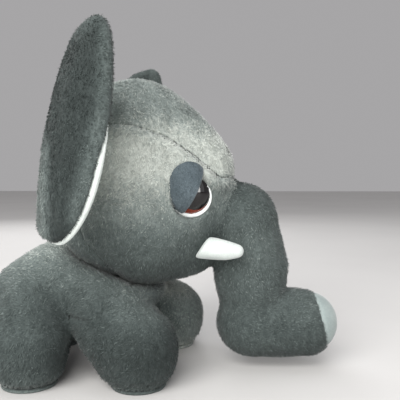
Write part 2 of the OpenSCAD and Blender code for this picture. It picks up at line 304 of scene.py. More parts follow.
def new_object(name, verts, faces, materials, index=None, normals=None):
    """A mesh object from arrays in millimetres. Every face has the same number of corners."""
    me = bpy.data.meshes.new(name)
    me.vertices.add(len(verts))
    me.vertices.foreach_set("co", (np.asarray(verts) * MM).astype(np.float32).ravel())
    me.loops.add(faces.size)
    me.loops.foreach_set("vertex_index", faces.astype(np.int32).ravel())
    me.polygons.add(len(faces))
    me.polygons.foreach_set("loop_start", np.arange(0, faces.size, faces.shape[1], dtype=np.int32))
    for m in materials:
        me.materials.append(m)
    if index is not None:
        me.polygons.foreach_set("material_index", index.astype(np.int32))
    me.update(calc_edges=True)
    me.shade_smooth()
    if normals is not None:
        me.normals_split_custom_set_from_vertices(normals.astype(np.float32).tolist())
    ob = bpy.data.objects.new(name, me)
    bpy.context.scene.collection.objects.link(ob)
    return ob


def paint(ob, name, values):
    """A number for each vertex, which materials read by name."""
    layer = ob.data.attributes.new(name, "FLOAT", "POINT")
    layer.data.foreach_set("value", np.asarray(values, np.float32))


# ---- Camera, light and floor

def make_camera():
    """A camera low on the toy's right, a little off its side."""
    data = bpy.data.cameras.new("camera")
    data.sensor_width = 36
    data.lens = 36 * 556 / 400
    cam = bpy.data.objects.new("camera", data)
    bpy.context.scene.collection.objects.link(cam)
    yaw, dip = math.radians(2), math.radians(2.78)
    cam.location = (0.04655, -0.41675, 0.144)
    aim = Vector((-math.sin(yaw) * math.cos(dip), math.cos(yaw) * math.cos(dip), -math.sin(dip)))
    cam.rotation_mode = "QUATERNION"
    cam.rotation_quaternion = aim.to_track_quat("-Z", "Y")
    bpy.context.scene.camera = cam


def area_light(name, place, aim, size, power, colour=(1, 1, 1)):
    data = bpy.data.lights.new(name, "AREA")
    data.shape = "RECTANGLE"
    data.size, data.size_y = size
    data.energy = power
    data.color = colour
    lamp = bpy.data.objects.new(name, data)
    bpy.context.scene.collection.objects.link(lamp)
    lamp.location = place
    lamp.rotation_mode = "QUATERNION"
    lamp.rotation_quaternion = (Vector(aim) - Vector(place)).to_track_quat("-Z", "Y")
    return lamp


def make_stage():
    """A large soft window light, fills that keep shadows pale, a glint for the eye, and the floor."""
    area_light("window_light", (-0.36, -1.12, 0.80), (0, 0, 0.12), (1.3, 1.1), 33, (1, 0.99, 0.97))
    area_light("top_light", (0.0, 0.2, 1.3), (0, 0, 0.1), (1.2, 1.2), 4.5, (0.97, 0.98, 1))
    area_light("side_fill", (1.0, -0.5, 0.5), (0, 0, 0.1), (0.8, 0.8), 1.8, (0.96, 0.97, 1))
    eye_place = (0.03, -0.04, 0.13)
    glint = area_light("eye_glint", (0.96, -0.80, 0.34), eye_place, (0.42, 0.5), 7.5, (1, 1, 0.98))
    glint.visible_diffuse = False
    area_light("back_fill", (-0.4, 1.0, 0.7), (0, 0, 0.12), (1.0, 0.8), 5, (1, 1, 1))
    world = bpy.data.worlds.new("studio")
    world.use_nodes = True
    world.node_tree.nodes["Background"].inputs["Color"].default_value = (0.62, 0.61, 0.62, 1)
    world.node_tree.nodes["Background"].inputs["Strength"].default_value = 0.62
    bpy.context.scene.world = world
    bpy.context.scene.view_settings.view_transform = "Standard"
    corners = 4000.0 * np.array([(-1, -1, 0), (1, -1, 0), (1, 1, 0), (-1, 1, 0)])
    floor = new_object("floor", corners, np.array([[0, 1, 2, 3]]), [floor_material()])


# ---- Materials

class Nodes:
    """Short calls for building one material's node tree."""

    def __init__(self, name):
        self.material = bpy.data.materials.new(name)
        self.material.use_nodes = True
        self.tree = self.material.node_tree
        self.shader = self.tree.nodes["Principled BSDF"]

    def node(self, kind, links=None, **settings):
        n = self.tree.nodes.new(kind)
        for key, value in settings.items():
            setattr(n, key, value)
        for key, value in (links or {}).items():
            self.put(n.inputs[key], value)
        return n

    def put(self, socket, value):
        if hasattr(value, "links"):
            self.tree.links.new(value, socket)
        else:
            socket.default_value = value

    def shade(self, **values):
        for key, value in values.items():
            self.put(self.shader.inputs[key.replace("_", " ")], value)
        return self.material

    def place(self):
        return self.node("ShaderNodeTexCoord").outputs["Object"]

    def noise(self, scale, detail=3, roughness=0.55, stretch=None):
        vector = self.place()
        if stretch:
            stretched = self.node("ShaderNodeMapping", {"Vector": vector, "Scale": stretch})
            vector = stretched.outputs["Vector"]
        made = self.node(
            "ShaderNodeTexNoise",
            {"Vector": vector, "Scale": scale, "Detail": detail, "Roughness": roughness},
        )
        return made.outputs["Fac"]

    def ramp(self, fac, stops):
        made = self.node("ShaderNodeValToRGB", {"Fac": fac})
        points = made.color_ramp.elements
        for i, (at, colour) in enumerate(stops):
            point = points[i] if i < 2 else points.new(at)
            point.position = at
            point.color = (*colour, 1)
        return made.outputs["Color"]

    def math(self, operation, a, b=0.0, c=0.0):
        made = self.node("ShaderNodeMath", {0: a, 1: b, 2: c}, operation=operation)
        return made.outputs["Value"]

    def mix(self, fac, a, b):
        made = self.node("ShaderNodeMix", data_type="RGBA")
        for socket, value in zip((made.inputs[0], made.inputs[6], made.inputs[7]), (fac, a, b)):
            self.put(socket, (*value, 1) if isinstance(value, tuple) and len(value) == 3 else value)
        return made.outputs[2]

    def attribute(self, name):
        return self.node("ShaderNodeAttribute", attribute_name=name).outputs["Fac"]

    def bump(self, height, strength, distance):
        return self.node(
            "ShaderNodeBump", {"Height": height, "Strength": strength, "Distance": distance}
        ).outputs["Normal"]


def floor_material():
    n = Nodes("pale_floor")
    colour = n.ramp(n.noise(3.0), [(0.3, (0.60, 0.59, 0.58)), (0.7, (0.64, 0.63, 0.62))])
    return n.shade(Base_Color=colour, Roughness=0.7)


def plush_colour(brightness):
    """Plush from dark, which looks cool, to light, which looks warmer."""
    share = min(max((brightness - 0.05) / 0.4, 0), 1)
    dark, light = np.array((0.87, 1.08, 1.05)), np.array((0.985, 1.045, 0.97))
    return tuple((dark + (light - dark) * share) * brightness)


def plush_material(name):
    """Short pile: painted highlights as speckle where the tips catch light, brushed streaks, and tone from
    the nap with painted light and shade.
    """
    n = Nodes(name)
    speckle = n.noise(900, 2, 0.7)
    clumps = n.noise(330, 4, 0.65, stretch=(1, 1, 0.55))
    brushed = n.noise(38, 3, 0.5)
    tone = n.math("ADD", n.math("MULTIPLY", speckle, 0.42), n.math("MULTIPLY", clumps, 0.50))
    tone = n.math("ADD", tone, n.math("MULTIPLY", brushed, 0.30))
    # The nap attribute holds the nap's tone together with painted light and shade.
    tone = n.math("MULTIPLY_ADD", n.attribute("nap"), 0.14, tone)
    steps = ((0.0, 0.03), (1.0, 0.50), (0.25, 0.06), (0.5, 0.11), (0.75, 0.22))
    colour = n.ramp(n.math("ADD", tone, -0.07), [(at, plush_colour(k)) for at, k in steps])
    height = n.math("ADD", n.math("MULTIPLY", speckle, 0.4), clumps)
    return n.shade(
        Base_Color=colour, Roughness=0.95, Normal=n.bump(height, 0.6, 0.0009),
        Sheen_Weight=0.12, Sheen_Roughness=0.5, Specular_IOR_Level=0.08,
    )


def shade_of(name, colour, sheen=0.25):
    """A plain shade for strands of pile, which get their pattern from how many shades lie together."""
    n = Nodes(name)
    return n.shade(
        Base_Color=(*colour, 1), Roughness=0.85, Sheen_Weight=sheen, Sheen_Roughness=0.4,
        Specular_IOR_Level=0.1,
    )


def velour_material(name, low, high):
    """Short smooth nap between two colours, with patches that are brushed flat."""
    n = Nodes(name)
    nap = n.noise(1100, 2, 0.6)
    worn = n.noise(90, 3, 0.5)
    tone = n.math("ADD", n.math("MULTIPLY", nap, 0.5), n.math("MULTIPLY", worn, 0.5))
    colour = n.ramp(tone, [(0.35, low), (0.65, high)])
    return n.shade(
        Base_Color=colour, Roughness=0.9, Normal=n.bump(nap, 0.35, 0.0004),
        Sheen_Weight=0.35, Sheen_Roughness=0.4, Specular_IOR_Level=0.15,
    )


def eye_material():
    """A black pupil and a red-brown iris that shows round its lower edge, under a clear coat."""
    n = Nodes("eye_glass")
    out = n.attribute("iris")
    streaks = n.noise(700, 3, 0.6)
    iris = n.ramp(streaks, [(0.3, (0.10, 0.012, 0.006)), (0.7, (0.30, 0.045, 0.018))])
    ring = [(0.0, 0), (1.0, 0), (0.71, 0), (0.735, 1), (0.96, 1)]
    inside = n.ramp(out, [(at, (v, v, v)) for at, v in ring])
    colour = n.mix(inside, (0.006, 0.005, 0.005), iris)
    return n.shade(
        Base_Color=colour, Roughness=0.35, Specular_IOR_Level=0.0, Coat_Weight=1.0, Coat_Roughness=0.02,
    )


def grained_material(name, grain, low, high, roughness, bump):
    """A grain between two colours that also raises the surface."""
    n = Nodes(name)
    height = n.noise(*grain)
    colour = n.ramp(height, [(0.3, low), (0.7, high)])
    return n.shade(Base_Color=colour, Roughness=roughness, Normal=n.bump(height, *bump))


GREY = plush_material("plush_grey")
SHADES = [
    shade_of("pile_%d" % i, plush_colour(0.172 * 1.40 ** (i - 4)), 0.06 + 0.05 * i)
    for i in range(9)
]
LID_SHADES = [
    shade_of("lid_pile_%d" % i, tuple(np.array((0.093, 0.119, 0.134)) * k))
    for i, k in enumerate((0.6, 1.0, 1.7))
]
WHITE = velour_material("velour_white", (0.51, 0.56, 0.54), (0.64, 0.68, 0.66))
MINT = velour_material("velour_mint", (0.235, 0.28, 0.275), (0.33, 0.38, 0.37))
LID = velour_material("velour_lid", (0.056, 0.075, 0.087), (0.122, 0.153, 0.170))
LINING = velour_material("ear_lining", (0.62, 0.68, 0.65), (0.76, 0.81, 0.78))
FELT = velour_material("felt_white", (0.80, 0.83, 0.82), (0.90, 0.92, 0.91))
EYE = eye_material()
FIBRE = grained_material(
    "fibre_filling", (240, 5, 0.7, (1, 1, 3)), (0.66, 0.66, 0.63), (0.86, 0.86, 0.84), 0.95, (0.8, 0.002),
)
NYLON = grained_material(
    "washer_nylon", (300, 2), (0.70, 0.70, 0.67), (0.78, 0.78, 0.75), 0.45, (0.1, 0.0003),
)
THREAD = grained_material(
    "seam_thread", (900, 2, 0.5, (1, 1, 4)), (0.035, 0.04, 0.037), (0.09, 0.10, 0.095), 0.7, (0.6, 0.0004),
)


# ---- Pile

def wave_noise(p, size, seed):
    """Smooth noise from -1 to 1, made of waves about that long in millimetres."""
    rng = np.random.default_rng(seed)
    total = np.zeros(len(p))
    for _ in range(10):
        way = rng.normal(size=3)
        way *= 2 * math.pi / (size * rng.uniform(0.7, 1.5) * np.linalg.norm(way))
        total += np.sin(p @ way + rng.uniform(0, 2 * math.pi))
    return total / 3.2


# A strand's three root corners, its three middle corners and its tip
STRAND_FACES = (
    (0, 1, 2), (0, 4, 1), (0, 3, 4), (1, 5, 2), (1, 4, 5), (2, 3, 0), (2, 5, 3),
    (3, 6, 4), (4, 6, 5), (5, 6, 3),
)
STRAND_CORNERS = [(math.cos(t), math.sin(t)) for t in (math.pi / 2, math.pi * 7 / 6, math.pi * 11 / 6)]


def scatter(verts, quads, normals, per_mm2, rng):
    """Places spread over the faces at random, and the normals there."""
    corners = [verts[quads[:, i]] for i in range(4)]
    a, b, c, d = corners
    area = 0.5 * np.linalg.norm(np.cross(c - a, d - b), axis=1)
    which = np.repeat(np.arange(len(quads)), rng.poisson(area * per_mm2))
    u, v = rng.random(len(which))[:, None], rng.random(len(which))[:, None]
    share = [(1 - u) * (1 - v), u * (1 - v), u * v, (1 - u) * v]
    place = sum(s * x[which] for s, x in zip(share, corners))
    return place, unit(sum(s * normals[quads[which, i]] for i, s in enumerate(share)))


def pick_shades(root, nap, count, rng):
    """Which shade each strand has: the nap's tone with painted light and shade, varied in patches and from
    strand to strand.
    """
    tone = 1.12 * nap(root) + 0.45 * wave_noise(root, 2.2, 7) + 0.25 * wave_noise(root, 6, 8)
    tone = tone + 0.25 * wave_noise(root, 30, 9) + count // 2
    # A few strands a step lighter at random, as painted highlights where tips catch light.
    tone = tone + 0.4 * rng.normal(size=len(root)) + 1.1 * (rng.random(len(root)) < 0.12)
    return np.clip(np.round(tone), 0, count - 1).astype(int)


def pile(name, verts, quads, keep, flow, nap, seed, per_mm2=0.8, length=2.6, width=0.55, shades=SHADES):
    """Strands over the kept faces, bent over along the flow. Each one is a closed tapered spike."""
    rng = np.random.default_rng(SEED + seed)
    root, up = scatter(verts, quads[keep], normals_of(verts, quads), per_mm2, rng)
    n = len(root)
    way = np.broadcast_to(flow(root), root.shape) + 0.35 * rng.normal(size=root.shape)
    way = way + 0.5 * np.stack([wave_noise(root, 14, 5 + k) for k in range(3)], 1)
    way = unit(way - (way * up).sum(1)[:, None] * up)
    lean = np.clip(0.95 + 0.18 * wave_noise(root, 9, 3) + 0.12 * rng.normal(size=n), 0.45, 1.35)[:, None]
    long = (length * np.clip(1 + 0.16 * rng.normal(size=n), 0.5, 1.5))[:, None]
    first = up * np.cos(lean * 0.7) + way * np.sin(lean * 0.7)
    second = up * np.cos(lean * 1.25) + way * np.sin(lean * 1.25)
    side = np.cross(way, up)
    base = root - 0.5 * up
    middle = base + first * long * 0.55
    ring = [x * side + y * up for x, y in STRAND_CORNERS]
    rows = [base + width / 2 * r for r in ring]
    rows += [middle + width * 0.42 * r for r in ring]
    rows.append(middle + second * long * 0.5)
    points = np.stack(rows, 1).reshape(-1, 3)
    faces = (np.array(STRAND_FACES) + len(rows) * np.arange(n)[:, None, None]).reshape(-1, 3)
    shade = np.repeat(pick_shades(root, nap, len(shades), rng), len(STRAND_FACES))
    out = 2 * [0.75 * up + 0.4 * r for r in ring] + [0.8 * up + 0.3 * second]
    return new_object(name, points, faces, shades, shade, unit(np.stack(out, 1).reshape(-1, 3)))


# ---- Puffing by cloth simulation

# How much larger the fabric is cut than the form it covers, and the frames it is given to settle
SLACK = 0.03
PUFF_STEP = 5.0
PUFF_FRAMES = 16


class Puff:
    """How far each place on a stuffed form moves when its fabric is blown up and held at its seams."""

    def __init__(self, field, lo, hi, held, cap, pressure):
        self.grid = Grid(lo, hi, PUFF_STEP)
        self.shift = np.zeros(self.grid.shape + (3,))
        verts, quads = smooth_net(field(self.grid.points), self.grid)
        moved = self.simulate(verts, quads, held(verts), pressure)
        move = moved - verts
        size = np.maximum(np.linalg.norm(move, axis=1), 1e-9)
        move *= (cap * np.tanh(size / cap) / size)[:, None]
        self.spread(verts, move)

    def simulate(self, verts, quads, held, pressure):
        """Where the cloth solver takes the vertices."""
        ob = new_object("puffing", verts, quads, [])
        group = ob.vertex_groups.new(name="held")
        group.add([int(i) for i in np.nonzero(held)[0]], 1.0, "REPLACE")
        cloth = ob.modifiers.new("Cloth", "CLOTH")
        fabric = cloth.settings
        fabric.vertex_group_mass = "held"
        fabric.use_pressure = True
        fabric.uniform_pressure_force = pressure
        fabric.effector_weights.gravity = 0
        fabric.quality = 6
        fabric.shrink_min = -SLACK
        fabric.tension_stiffness = 10
        fabric.compression_stiffness = 10
        fabric.bending_stiffness = 1
        cloth.point_cache.frame_start = 1
        cloth.point_cache.frame_end = PUFF_FRAMES
        for f in range(1, PUFF_FRAMES + 1):
            bpy.context.scene.frame_set(f)
        result = ob.evaluated_get(bpy.context.evaluated_depsgraph_get()).to_mesh()
        co = np.empty(len(verts) * 3, np.float32)
        result.vertices.foreach_get("co", co)
        mesh = ob.data
        bpy.data.objects.remove(ob)
        bpy.data.meshes.remove(mesh)
        bpy.context.scene.frame_set(1)
        return co.reshape(-1, 3).astype(float) / MM

    def spread(self, verts, move):
        """Writes the moves on the grid and lets them reach a little way off the surface."""
        weight = np.zeros(self.grid.shape)
        for at, share in self.grid.corners(verts):
            np.add.at(weight, at, share)
            np.add.at(self.shift, at, share[:, None] * move)
        for _ in range(3):
            wide, far = weight.copy(), self.shift.copy()
            for axis in range(3):
                for step in (-1, 1):
                    wide += 0.3 * np.roll(weight, step, axis)
                    far += 0.3 * np.roll(self.shift, step, axis)
            weight, self.shift = wide, far
        self.shift /= np.maximum(weight, 1e-6)[..., None]
        self.shift[weight < 1e-4] = 0

    def apply(self, verts):
        return verts + self.grid.sample(self.shift, verts)


# ---- Making a panel

def with_pile(name, verts, quads, outer, flow, nap, seed, **pile_options):
    """A plush mesh, and its pile over the faces whose corners are all outer ones."""
    ob = new_object(name, verts, quads, [GREY])
    # The nap attribute carries painted light and shade along with the nap's tone.
    paint(ob, "nap", nap(verts))
    return ob, pile(name + "_pile", verts, quads, outer[quads].all(1), flow, nap, seed, **pile_options)


def make_panel(name, grid, values, surface, puff, flow, nap, seed, **pile_options):
    """One sewn panel and its pile. surface is the whole form's field, which tells outside from inside."""
    verts, quads = smooth_net(values, grid)
    outer = grid.sample(surface.reshape(grid.shape), verts) > -0.9
    verts = puff.apply(verts) if puff else verts
    return with_pile(name, verts, quads, outer, flow, nap, seed, **pile_options)


def attach(ob, body=None, bend=None, node=None):
    """Fixes an object to a body, or, when given a bend, only bakes its place into its mesh; then hides the
    CAD node it replaces.
    """
    if bend:
        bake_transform(ob)
    else:
        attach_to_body(ob, body)
    if node:
        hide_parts(node)


def settle(piece, body=None, bend=None, node=None):
    """Attaches a padded piece together with its pile."""
    ob, strands = piece
    attach(ob, body, bend, node)
    if strands:
        attach(strands, body, bend)


# ---- Torso and legs

def pair(x, y, z, r):
    return [(x, y, z, r), (x, -y, z, r)]


TORSO_BALLS = pair(-96, 14, 52, 25) + pair(-73, 10, 62, 30) + pair(-17, 11, 66, 24)
HEAD_BALLS = (
    pair(-14, 12, 168, 42) + pair(6, 10, 156, 38) + pair(19, 8, 141, 38) + pair(-38, 18, 138, 36)
    + pair(-6, 16, 102, 38) + pair(-34, 16, 110, 34) + pair(22, 9, 98, 28)
)
SHOULDER_R, HIP_R, FOOT_R = 20, 21, 26
SOLE_R = 19


def soften(values, rounds):
    """Evens out a field on its grid, which rounds off its creases."""
    for _ in range(rounds):
        for axis in range(3):
            ahead, back = np.roll(values, 1, axis), np.roll(values, -1, axis)
            values = 0.5 * values + 0.25 * (ahead + back)
    return values


torso_hull = hull_of(TORSO_BALLS)
head_hull = hull_of(HEAD_BALLS)


def swept_head_balls(turn, nod):
    """The head's balls at the ends of a small turn and nod, for the hollow it rests in."""
    balls = np.array(HEAD_BALLS, float)
    every = []
    for a in (-nod, nod):
        for b in (-turn, turn):
            every.append(np.column_stack([turned(balls[:, :3], NECK, a, b), balls[:, 3]]))
    return np.vstack(every)


class Leg:
    """A leg's form, its way down from the joint, and where its own fabric starts along it."""

    def __init__(self, end, side_name):
        self.name = f"leg_{end}_{side_name}"
        side = SIDES[side_name]
        self.sole = f"foot_{end}_{side_name}_sole"
        lo, hi = box_mm(self.sole)
        middle = (lo + hi) / 2
        self.top = joint_point(self.name + "_swing")
        self.foot = np.array([middle[0], middle[1], FOOT_R])
        r = SHOULDER_R if end == "front" else HIP_R
        balls = [(*self.top, r), (*self.foot, FOOT_R)]
        if end == "front":
            forearm = (self.top[0] + 9, side * 44, 36, 21)
            balls.append(forearm)
        self.field = hull_of(balls, [(middle[0], middle[1], 0, SOLE_R + 1)])
        way = self.foot - self.top
        way[1] *= 0.3
        self.way = way / np.linalg.norm(way)
        self.start = 6 if end == "front" else 4
        self.fillet = 14 if end == "front" else 7


LEGS = [Leg(end, side) for end in ("front", "hind") for side in SIDES]


def body_flow(p):
    return np.array([-0.55, 0.0, -0.85])


# Tone by height on the body: partly the nap, partly painted shade low on the flanks and painted light along
# the back.
FLANK_NAP_AND_PAINTED_LIGHT = ((0, 10, 25, 45, 60, 75, 92), (-1.8, -2.7, -3.4, -2.9, -1.7, -0.3, 1.2))


def body_nap_and_painted_light(p):
    """Tone of the nap with painted light and shade: light along the back and the haunches, dark on the
    flanks and front legs, and painted light on the far side, which the lamps leave in shade.
    """
    x, y, z = p.T
    haunch = rise(x, -58, -14) * rise(z, 58, -16)
    chest = rise(x, -28, 10) * rise(z, 38, 10)
    # Painted light on the far side, which the lamps leave in shade.
    far = 3.6 * rise(y, 0, 24) * rise(x, -36, 18)
    return np.interp(z, *FLANK_NAP_AND_PAINTED_LIGHT) + haunch + 1.3 * chest + far + 0.5 * rise(z, 12, -10)


BELLY_LINE = ((-200, -96, -29, -15), (44, 44, 47, 54))


def belly_side(p):
    """Positive under the belly and up the chest, where the gusset runs."""
    return np.maximum(p[:, 0] - BELLY_LINE[0][-1], -above_line(p, *BELLY_LINE))


def body_form(p, torso, legs, head):
    """Torso and legs in one skin, hollowed where the head rests."""
    out = torso
    for leg in LEGS:
        out = blend_min(out, legs[leg.name], leg.fillet)
    return np.maximum(blend_max(out, 0.6 - head, 5), -p[:, 2])


def torso_held(v):
    """Where the body's fabric is held: along its seams, on the ground and where the head rests."""
    line = np.abs(belly_side(v)) < 4
    return line | (v[:, 2] < 5) | (np.abs(v[:, 1]) < 3) | (head_hull(v) < 7)


def whole_body(v):
    return body_form(v, torso_hull(v), {leg.name: leg.field(v) for leg in LEGS}, head_hull(v))


def leg_zones(p, torso, legs):
    """Positive where the fabric is a leg's own: past its start, and nearer to it than to anything else."""
    zones = {}
    for leg in LEGS:
        along = (p - leg.top) @ leg.way - leg.start
        others = [legs[other.name] for other in LEGS if other is not leg]
        nearer = np.minimum.reduce([torso, *others]) - legs[leg.name]
        zones[leg.name] = np.minimum(along, nearer / 1.5)
    return zones


def make_torso(grid, body, torso, any_leg, puff):
    """Two sides, the belly gusset between them, and the filling."""
    p = grid.points
    belly = belly_side(p)
    under_legs = np.maximum(body, torso + PANEL_T)
    rest_of_body = np.minimum(np.maximum(body, any_leg - 1.5), under_legs)
    inner = -(rest_of_body + 2 * PANEL_T)
    flank = both(seam_edge(rest_of_body, belly), inner)
    panels = [
        (f"side_{side_name}", np.maximum(flank, -side * p[:, 1] + 0.1), f"torso_side_{side_name}", 1 + side)
        for side_name, side in SIDES.items()
    ]
    panels.append(("belly", both(seam_edge(rest_of_body, -belly), inner), "belly_gusset", 4))
    for name, values, node, seed in panels:
        piece = make_panel(f"plush_{name}", grid, values, body, puff, body_flow, body_nap_and_painted_light, seed)
        settle(piece, "torso", node=node)
    filling = np.maximum(body, torso) + 2 * PANEL_T + 0.4
    make_filling("filling_torso", grid, filling, "torso", "torso_stuffing")


def make_leg(leg, seed, grid, body, torso, zone, puff):
    """A leg's skin, which goes on as a collar inside the torso, and its filling."""
    p = grid.points
    hole = np.maximum(np.hypot(*(p - leg.foot)[:, :2].T) - SOLE_R - 0.2, p[:, 2] - 2.2)
    under_torso = -(torso + PANEL_T + COLLAR_T)
    values = both(body, -zone - 2.2, under_torso, -(body + PANEL_T), -hole)
    piece = make_panel(f"plush_{leg.name}", grid, values, body, puff, body_flow, body_nap_and_painted_light, seed)
    start = leg.top + leg.way * leg.start
    bend = ("torso", leg.name, tuple(start * MM), tuple((start + leg.way * 24) * MM))
    settle(piece, bend=bend, node=leg.name + "_skin")
    filling = both(body + PANEL_T + 0.5, -zone + 6, -(torso + PANEL_T))
    make_filling(f"filling_{leg.name}", grid, filling, leg.name, leg.name + "_stuffing")


def make_torso_and_legs():
    grid = Grid((-134, -80, -6), (42, 80, 106), STEP)
    p = grid.points
    torso = torso_hull(p)
    legs = {leg.name: leg.field(p) for leg in LEGS}
    body = body_form(p, torso, legs, hull_of(swept_head_balls(5, 2.5))(p))
    sole_seam = 1.3 * np.exp(-((p[:, 2] - 6.5 - 0.03 * p[:, 0]) / 1.7) ** 2)
    body = soften(body.reshape(grid.shape), 20).ravel() - SOFTEN_LOSS + SWELL + sole_seam
    body = np.maximum(body, -p[:, 2])
    zones = leg_zones(p, torso, legs)
    puff = Puff(whole_body, (-140, -85, -10), (48, 85, 112), torso_held, cap=2.2, pressure=100)
    make_torso(grid, body, torso, np.maximum.reduce(list(zones.values())), puff)
    for i, leg in enumerate(LEGS):
        make_leg(leg, 10 + i, grid, body, torso, zones[leg.name], puff)
        make_sole(leg)


def make_sole(leg):
    """A round of plush with a turned edge, flat where it stands."""
    x, y = leg.foot[:2]
    grid = Grid((x - 24, y - 24, -4), (x + 24, y + 24, 8), 1.1)
    p = grid.points
    flat = np.hypot(p[:, 0] - x, p[:, 1] - y)
    values = blend_max(flat - SOLE_R + 0.1, np.abs(p[:, 2] - 1.2) - 1.2, 1.4)
    verts, quads = smooth_net(np.maximum(values, -p[:, 2]), grid)
    ob = new_object(f"plush_{leg.sole}", verts, quads, [GREY])
    paint(ob, "nap", body_nap_and_painted_light(verts))
    attach(ob, leg.name, node=leg.sole)


# ---- Head and trunk

GUSSET_LINE = ((-200, -40, -12, 10, 30, 47, 200), (175, 177, 176, 169, 156, 141, 141))
BACK_LINE = ((-50, 66, 100, 150, 400), (-20, -20, -46, -54, -54))
ROOT_R, ELBOW_R, TIP_R = 27, 25.5, 24
TIP = ELBOW + np.array([40, 0, -1])
PAD_LEAN = math.radians(14)
TRUNK_SPLIT_Z = 76

trunk_top_hull = hull_of([(*TRUNK_ROOT, ROOT_R), (62.5, 0, 110, 26)])
trunk_shin_hull = hull_of([(62.5, 0, 110, 26), (72, 0, 74, 26), (71, 0, 50, 24)])
trunk_low_hull = hull_of([(*ELBOW, ELBOW_R), (*TIP, TIP_R)])
root_filling_hull = hull_of([(*TRUNK_ROOT, 20.5), (62.5, 0, 110, 21), (72, 0, 74, 21), (71, 0, 50, 20)])


def trunk_form(p):
    upper = blend_min(trunk_top_hull(p), trunk_shin_hull(p), 4)
    return blend_min(upper, trunk_low_hull(p), 3.5)


class Eye:
    """The eye's own directions: forward, up and out from its seat on the cheek."""

    def __init__(self, side_name):
        side = SIDES[side_name]
        yaw, dip = math.radians(15), math.radians(14)
        self.name = side_name
        lo, hi = box_mm(f"eye_{side_name}_white")
        self.out = np.array([math.sin(yaw), side * math.cos(yaw), -math.tan(dip)]) * math.cos(dip)
        self.seat = (lo + hi) / 2 + self.out * 1.2 + np.array([0, 0, 1.5])
        self.ahead = np.array([math.cos(yaw), -side * math.sin(yaw), 0])
        self.up = np.cross(self.ahead, self.out) * side
        self.up *= np.sign(self.up[2])

    def local(self, p):
        q = p - self.seat
        return q @ self.ahead, q @ self.up, q @ self.out

    def place(self, ahead, up, out):
        return self.seat + np.outer(ahead, self.ahead) + np.outer(up, self.up) + np.outer(out, self.out)

    def grid(self, reach, step):
        """A grid in the frame's axes that holds this much round the seat."""
        return Grid(self.seat - reach, self.seat + reach, step)


EYES = {name: Eye(name) for name in SIDES}
DOME_R, DOME_H, DOME_BASE = 13.0, 6.3, -0.8
DOME_BALL_R = (DOME_R ** 2 + DOME_H ** 2) / (2 * DOME_H)
DOME_CENTRE = DOME_BASE + DOME_H - DOME_BALL_R
WHITE_SHIFT = (0.3, -1.6)
LID_LEAN = math.radians(24)


def eye_pocket(eye, p):
    f, u, n = eye.local(p)
    round_ = np.hypot(f - WHITE_SHIFT[0], u - WHITE_SHIFT[1]) - 14.2
    return np.maximum(round_, -(n + 2.0))


def head_flow(p):
    out = np.column_stack([-0.45 - 0.01 * (p[:, 0] - 20), np.zeros(len(p)), -0.75 * np.ones(len(p))])
    out[:, 2] = np.where(p[:, 2] > 165, -0.35, out[:, 2])
    return out


# Tone by height on the head: painted shade on the lower cheek, painted light up to the crown.
HEAD_NAP_AND_PAINTED_LIGHT = ((60, 82, 105, 125, 145, 165, 185, 205), (-1.9, -1.7, -0.1, 1.7, 3.1, 2.9, 1.1, 0.7))


def head_nap_and_painted_light(p):
    """Painted light on the upper cheek and crown, painted shade on the lower cheek, under the chin and on
    the front of the cheek beside the trunk.
    """
    x, _, z = p.T
    # Painted shade on the front of the cheek, low beside the trunk.
    shade = rise(x, 30, 14) * rise(z, 150, -20)
    return np.interp(z, *HEAD_NAP_AND_PAINTED_LIGHT) - 1.3 * shade * rise(z, 80, 20)


def trunk_flow(p):
    out = np.tile([0.05, 0.0, -1.0], (len(p), 1))
    low = p[:, 2] < 62
    out[low] = [0.9, 0.0, -0.3]
    return out


# Darker at the bottom and where the trunk meets the head: painted shade.
def trunk_nap_and_painted_shade(p):
    return np.interp(p[:, 2], (5, 30, 60, 95, 115, 135), (-1.9, -1.8, -1.2, -0.8, -1.4, -1.9))


GUSSET_RIDGE = ((-38, -20, 18, 30, 44, 56), (0, 0.4, 0.6, 1, 1, 0))


def brow_ridge(p, above):
    """The cheek's raised edge and the valley over it, where the gusset comes down to the trunk."""
    strength = np.interp(p[:, 0], *GUSSET_RIDGE)
    ridge = 2.8 * np.exp(-((above + 4.0) / 3.6) ** 2)
    valley = 2.4 * np.exp(-((above - 3.5) / 4.0) ** 2)
    return strength * (ridge - valley)


def head_held(v):
    """Where the head's fabric is held: along its seams and round all that is sewn to it."""
    seams = (np.abs(above_line(v, *GUSSET_LINE)) < 4) | (np.abs(behind_line(v, *BACK_LINE)) < 4)
    x, y, z = v[:, 0], np.abs(v[:, 1]), v[:, 2]
    middle = (y < 3) & (z < 150)
    eyes = np.min([distance(v, eye.seat) for eye in EYES.values()], axis=0) < 21
    tusks = np.sqrt((x - 36) ** 2 + (y - 34) ** 2 + (z - 91) ** 2) < 13
    ears = np.hypot(x + 44, y - 52) < 10
    return seams | middle | eyes | tusks | ears | (trunk_form(v) < 5) | (torso_hull(v) < 10)


